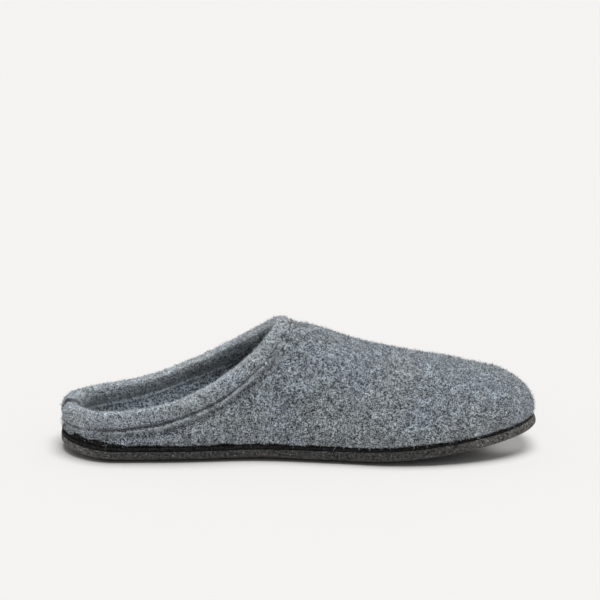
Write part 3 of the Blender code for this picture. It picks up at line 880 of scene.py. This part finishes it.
def running_stitches(loop, normals, pitch, share, sink):
    """Stitches along a loop, high in their middle and sunk at their ends."""
    way, starts = even_steps(loop, pitch)
    place, out = loop_reader(loop, way), loop_reader(normals, way)
    t = np.linspace(0, 1, 6)
    bow = np.sin(np.pi * t) * sink - sink * 0.45
    spans = [start + t * pitch * share for start in starts]
    return [place(at) + out(at) * bow[:, None] for at in spans]


STITCH_ABOVE = 1.5
stitch_row = ((1 - STITCH_ABOVE / seams) / ROW_STEP).astype(int)
seam_loop, seam_normals = outside[column, stitch_row], form_normals[column, stitch_row]
outer_paths = running_stitches(seam_loop, seam_normals, 3.6, 0.72, 0.42)
outer_stitches = thread_mesh("seam_stitches", outer_paths, 0.20)

# %% Whip stitches along the band's inner edge
WHIP_PITCH = 3.1
# offset and height in the band's section, and step along the edge
WHIP = ((-2.2, -8.3, 0), (-3.95, -7.3, 0.35), (-3.9, -6, 0.7))
way, starts = even_steps(band_ring(*WHIP[0][:2]), WHIP_PITCH)
low, mid, high = (loop_reader(band_ring(offset, height), way)(starts + step)
                  for offset, height, step in WHIP)
t = np.linspace(0, 1, 6)[:, None, None]
whip_paths = low * (1 - t) ** 2 + 2 * mid * t * (1 - t) + high * t ** 2
whip_stitches = thread_mesh("inner_stitches", whip_paths.swapaxes(0, 1), 0.22)

# %% [markdown]
# ## Finishes
#
# A felt surface has its look at three scales: grains of about a millimetre where light and
# dark hairs cross, blotches of about five, and slow changes over the whole slipper. We build
# each scale from a noise texture in object coordinates, which stays fixed to the wool from
# every side. The nap's soft gloss at grazing light is the shader's sheen. The attributes
# lay painted shade in the grooves, the join, the band's lower and inner sides and the deep
# inside, painted highlights on the folds and crests, and painted light inside the heel, and
# they turn the lower edge black.

# %% Materials and their inputs
def put(tree, inlet, value):
    """Leads a socket to an input, or sets the input to a number or a colour."""
    if isinstance(value, bpy.types.NodeSocket):
        tree.links.new(value, inlet)
    else:
        inlet.default_value = (*value, 1) if isinstance(value, tuple) else value


def add_node(tree, kind, **values):
    """A node of the tree with some of its inputs given."""
    node = tree.nodes.new("ShaderNode" + kind)
    for name, value in values.items():
        put(tree, node.inputs[name], value)
    return node


def feed(tree, name, value):
    """Gives one input of the material's shader its value."""
    put(tree, tree.nodes["Principled BSDF"].inputs[name], value)


def new_material(name, roughness, specular=0.2, sheen=0, sheen_roughness=0.6):
    """A material with its nodes, and the coordinates that stay fixed to the piece."""
    material = bpy.data.materials.new(name)
    material.use_nodes = True
    tree = material.node_tree
    for key, value in (("Roughness", roughness), ("Specular IOR Level", specular),
                       ("Sheen Weight", sheen), ("Sheen Roughness", sheen_roughness)):
        feed(tree, key, value)
    return material, tree, add_node(tree, "TexCoord").outputs["Object"]


def bump(tree, height, distance_mm):
    """Bends the shader's normal by a height."""
    node = add_node(tree, "Bump", Strength=1, Distance=distance_mm * MM, Height=height)
    feed(tree, "Normal", node.outputs["Normal"])


# %% Nodes that make and mix colours
def grains(tree, where, size, detail=2, roughness=0.5):
    """A noise texture whose lumps measure about size millimetres."""
    return add_node(tree, "TexNoise", Vector=where, Scale=1 / (size * MM), Detail=detail,
                    Roughness=roughness).outputs["Fac"]


def ramp(tree, value, *stops):
    """A colour ramp through (place, colour) stops."""
    node = add_node(tree, "ValToRGB", Fac=value)
    elements = node.color_ramp.elements
    while len(elements) < len(stops):
        elements.new(0.5)
    for element, (place, colour) in zip(elements, stops):
        element.position = place
        element.color = (*colour, 1)
    return node.outputs["Color"]


def mix(tree, share, first, second, blend="MIX"):
    """Mixes two colours; each of the three may be a socket."""
    node = add_node(tree, "Mix")
    node.data_type = "RGBA"
    node.blend_type = blend
    for place, value in ((0, share), (6, first), (7, second)):
        put(tree, node.inputs[place], value)
    return node.outputs[2]


def calc(tree, operation, first, second, clamp=False):
    """One step of arithmetic on sockets or numbers."""
    node = add_node(tree, "Math")
    node.operation = operation
    node.use_clamp = clamp
    for inlet, value in zip(node.inputs, (first, second)):
        put(tree, inlet, value)
    return node.outputs[0]


def carried(tree, name):
    """Reads a number that the mesh carries on its points."""
    node = add_node(tree, "Attribute")
    node.attribute_name = name
    return node.outputs["Fac"]


def painted(tree, colour, *coats):
    """Lays coats of paint on a colour, each where the mesh carries its attribute."""
    for name, paint, most, blend in coats:
        share = calc(tree, "MULTIPLY", carried(tree, name), most, True)
        colour = mix(tree, share, colour, paint, blend)
    return colour


# %% Felt
def felt_material(name, dark, middle, light, blotch=0.34):
    """Heathered wool felt: grains, blotches and slow changes, with a fine bump."""
    material, tree, where = new_material(name, 0.95, 0.1, 0.35, 0.55)
    tufts = grains(tree, where, 2.4, 1)
    fine = grains(tree, where, 0.8, 2, 0.9)
    grain = calc(tree, "ADD", calc(tree, "MULTIPLY", fine, 0.80),
                 calc(tree, "MULTIPLY", tufts, 0.20))
    colour = ramp(tree, grain, (0.452, dark), (0.50, middle), (0.550, light))
    patches = ramp(tree, grains(tree, where, 6.5, 2, 0.6),
                   (0.35, (1 - blotch,) * 3), (0.65, (1 + blotch,) * 3))
    slow = ramp(tree, grains(tree, where, 34, 1),
                (0.35, (0.93, 0.95, 1)), (0.65, (1.03, 1.02, 0.99)))
    for change in (patches, slow):
        colour = mix(tree, 1, colour, change, "MULTIPLY")
    bump(tree, calc(tree, "ADD", grain, calc(tree, "MULTIPLY", fine, 0.4)), 0.9)
    return material, tree, where, colour


FELT_DARK = (0.010, 0.013, 0.018)
FELT_MIDDLE = (0.160, 0.190, 0.222)
FELT_LIGHT = (0.700, 0.765, 0.815)
BLACK = (0.006,) * 3
DUSTY_BLACK = (0.045, 0.046, 0.048)

upper_felt, tree, where, colour = felt_material("upper_felt", FELT_DARK, FELT_MIDDLE, FELT_LIGHT)
# Painted shade in the grooves.
colour = painted(tree, colour, ("groove_shade", FELT_DARK, 0.72, "MIX"))
# Painted highlight, in streaks, along the cord's crest and the lining seam's ridge.
streaks = ramp(tree, grains(tree, where, 1.6, 2, 0.6), (0.40, (0,) * 3), (0.56, (1,) * 3))
crest_light = calc(tree, "MULTIPLY", carried(tree, "crest_highlight"), streaks, True)
colour = mix(tree, crest_light, colour, FELT_LIGHT)
# Painted light inside the heel, and painted shade deep in the throat.
colour = painted(
    tree, colour,
    ("inside_light", (2.6,) * 3, 1, "MULTIPLY"),
    ("inside_light", FELT_LIGHT, 0.12, "MIX"),
    ("deep_shade", (0.08,) * 3, 1, "MULTIPLY"),
)
uneven = calc(tree, "SUBTRACT", grains(tree, where, 0.9, 3, 0.7), 0.5)
ragged = calc(tree, "ADD", carried(tree, "creep"), calc(tree, "MULTIPLY", uneven, 2.2))
black_share = calc(tree, "MULTIPLY", ragged, 1.2, True)
black_dust = ramp(tree, grains(tree, where, 1, 2, 0.7), (0.45, BLACK), (0.62, DUSTY_BLACK))
feed(tree, "Base Color", mix(tree, black_share, colour, black_dust))
wool_share = calc(tree, "SUBTRACT", 1, black_share)
feed(tree, "Sheen Weight", calc(tree, "MULTIPLY", wool_share, 0.35))

band_felt, tree, where, colour = felt_material(
    "band_felt", (0.028, 0.034, 0.042), (0.362, 0.412, 0.462), (0.890, 0.950, 0.985), 0.26)
# Painted shade on the band's lower side, inner side and turned-under edge and in the join, and a
# painted highlight on the fold; the cut edge is made lighter.
feed(tree, "Base Color", painted(
    tree, colour,
    ("low_side_shade", (0.52, 0.53, 0.55), 1, "MULTIPLY"),
    ("crest_highlight", (0.82, 0.87, 0.90), 0.65, "MIX"),
    ("cut_edge", (0.46, 0.50, 0.53), 0.35, "MIX"),
    ("shaded", (0.40, 0.41, 0.42), 1, "MULTIPLY"),
    ("under_edge_shade", FELT_DARK, 0.65, "MIX"),
    ("join_shade", (0.06, 0.066, 0.072), 0.9, "MIX"),
))

insole_felt, tree, where, colour = felt_material(
    "insole_felt", (0.016, 0.018, 0.022), (0.110, 0.125, 0.140), (0.360, 0.395, 0.420))
feed(tree, "Base Color", colour)

# %% Hair, thread and black layer
def hair_material(name, dark, light):
    """Wool hairs from dark to light by each hair's own number."""
    material, tree, _ = new_material(name, 0.75, 0.25, 0.2)
    feed(tree, "Base Color", ramp(tree, carried(tree, "tone"), (0.4, dark), (0.6, light)))
    return material


def thread_material(name, colour):
    """Thread with a fine grain of noise in its colour and its bump."""
    material, tree, where = new_material(name, 0.8, 0.25, 0.2)
    fibre = grains(tree, where, 0.25)
    dark = tuple(0.6 * c for c in colour)
    feed(tree, "Base Color", ramp(tree, fibre, (0.3, dark), (0.7, colour)))
    bump(tree, fibre, 0.08)
    return material


upper_hair = hair_material("upper_hair", (0.03, 0.036, 0.044), (0.66, 0.72, 0.76))
band_hair = hair_material("band_hair", (0.07, 0.082, 0.10), (0.84, 0.91, 0.96))
seam_thread = thread_material("seam_thread", (0.10, 0.112, 0.13))
edge_thread = thread_material("edge_thread", (0.50, 0.53, 0.56))

black_rubber, tree, where = new_material("black_rubber", 0.85, 0.1)
crumb = grains(tree, where, 0.8, 3, 0.7)
feed(tree, "Base Color", ramp(
    tree, crumb, (0.45, (0.005,) * 3), (0.68, (0.065, 0.065, 0.067))))
bump(tree, crumb, 0.35)

# %% [markdown]
# ## Speckled rubber
#
# The outsole is pressed from rubber crumb, dark with a few light grains. Each cell of a
# Voronoi texture has one random colour, and we keep only the lightest few as specks. Noise
# alone would give soft clouds, never grains with an edge.

# %% Outsole rubber
sole_rubber, tree, where = new_material("sole_rubber", 0.82, 0.3)
cells = add_node(tree, "TexVoronoi", Vector=where, Scale=1 / (1.1 * MM))
chance = add_node(tree, "SeparateColor", Color=cells.outputs["Color"])
cloud = grains(tree, where, 1.1, 3, 0.75)
ground_colour = ramp(tree, cloud, (0.40, (0.007,) * 3), (0.62, (0.125, 0.122, 0.119)))
speck = calc(tree, "MULTIPLY", calc(tree, "GREATER_THAN", chance.outputs[0], 0.88),
             calc(tree, "LESS_THAN", cells.outputs["Distance"], 0.42))
speck_colour = ramp(tree, chance.outputs[1],
                    (0.2, (0.13, 0.125, 0.12)), (0.9, (0.26, 0.25, 0.24)))
colour = mix(tree, speck, ground_colour, speck_colour)
# Painted light on the outsole's two ends.
feed(tree, "Base Color", painted(tree, colour, ("end_light", (2.1, 2.05, 2), 1, "MULTIPLY")))
bump(tree, calc(tree, "ADD", cloud, calc(tree, "MULTIPLY", speck, 0.3)), 0.3)

# %% [markdown]
# ## Dressing the frame
#
# Each fine piece takes the place of a coarse one and rides on the slipper's one body. The nap
# and the stitches are extra pieces of the felt they sit on.

# %% Finishes, riding and replaced nodes
DRESSED = (
    (upper, upper_felt, "upper_felt", ("upper",)),
    (band, band_felt, "band_felt", ("collar_band",)),
    (outsole, sole_rubber, "outsole_rubber", ("outsole",)),
    (black_layer, black_rubber, "black_layer", ("midsole",)),
    (insole, insole_felt, "insole_felt", ("insole",)),
    (upper_nap, upper_hair, "upper_felt", ()),
    (band_nap, band_hair, "band_felt", ()),
    (outer_stitches, seam_thread, "band_felt", ()),
    (whip_stitches, edge_thread, "band_felt", ()),
)
for piece, finish, slot_name, nodes in DRESSED:
    piece.data.materials.append(finish)
    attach(piece, "root")
    if nodes:
        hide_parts(*nodes)
print("dressed pieces:", len(DRESSED))

# %% [markdown]
# ## Floor, light and camera
#
# The photograph is a product picture on white: a bright pale floor, a large soft light from
# above, and a touch of shadow under the sole. A wide sun gives that even light. It leaves the
# shadow under the raised toe and the inside of the heel darker than the photograph has them,
# so each gets a small weak lamp of its own, added only for that. The camera stands far off
# with a long lens, about 17 degrees above the floor, and looks at the slipper's inner side.

# %% Floor
floor_mesh = bpy.data.meshes.new("floor")
FLOOR_HALF = 6
corners = [(x * FLOOR_HALF, y * FLOOR_HALF, 0) for x, y in ((-1, -1), (1, -1), (1, 1), (-1, 1))]
floor_mesh.from_pydata(corners, [], [(0, 1, 2, 3)])
floor = add_object("floor", floor_mesh)
floor_paint, tree, _ = new_material("floor_paint", 0.9, 0)
feed(tree, "Base Color", (0.83, 0.815, 0.80))
floor_mesh.materials.append(floor_paint)
floor.location.z = -0.0002
floor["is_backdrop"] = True

# %% Light
world = bpy.data.worlds.new("studio")
scene = bpy.context.scene
scene.world = world
world.use_nodes = True
sky = world.node_tree.nodes["Background"]
sky.inputs["Color"].default_value = (0.96, 0.98, 1, 1)
sky.inputs["Strength"].default_value = 0.28


def add_lamp(name, kind, power, axis, along, place=(0, 0, 0), **sizes):
    """A soft lamp with one of its axes laid along a direction; it shines towards its -Z."""
    lamp = bpy.data.lights.new(name, kind)
    lamp.energy = power
    for key, value in sizes.items():
        setattr(lamp, key, value)
    ob = add_object(name, lamp)
    ob.location = place
    ob.rotation_euler = Vector(along).to_track_quat(axis, "Y").to_euler()
    ob.visible_camera = False


add_lamp("ceiling", "SUN", 2.62, "Z", (0.10, -0.05, 1), angle=np.radians(42))
add_lamp("toe_kicker", "AREA", 0.0013, "-Z", (0, 0, -1), (0.122, -0.004, 0.0078),
         shape="DISK", size=0.036)
add_lamp("inside_fill", "AREA", 0.0026, "-Z", (0, 1, -1.2), (-0.080, -0.012, 0.027),
         shape="RECTANGLE", size=0.09, size_y=0.010)
print("lamps:", len(bpy.data.lights))

# %% Camera
PHOTO_SIZE = 600
PHOTO_CENTRE = (298.2, 377.7)
PHOTO_SCALE = 1.69
CAMERA_DISTANCE = 1.55
CAMERA_ELEVATION = np.radians(17)
SLIPPER_CENTRE = Vector((0, 0, 0.039))
SENSOR = 36

toward = Vector((0, -np.cos(CAMERA_ELEVATION), np.sin(CAMERA_ELEVATION)))
focal_pixels = PHOTO_SCALE / MM * CAMERA_DISTANCE
lower = np.arctan((PHOTO_CENTRE[1] - PHOTO_SIZE / 2) / focal_pixels)
aside = np.arctan((PHOTO_CENTRE[0] - PHOTO_SIZE / 2) / focal_pixels)
lens = bpy.data.cameras.new("camera")
lens.sensor_width = SENSOR
lens.lens = focal_pixels * SENSOR / PHOTO_SIZE
camera = add_object("camera", lens)
camera.location = SLIPPER_CENTRE + toward * CAMERA_DISTANCE
camera.rotation_euler = (np.pi / 2 - (CAMERA_ELEVATION - lower), 0, aside)
scene.camera = camera
scene.view_settings.view_transform = "Standard"
print("lens:", round(lens.lens, 1), "mm")

# %% Size of the dressed slipper
bpy.context.view_layer.update()
low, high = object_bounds()
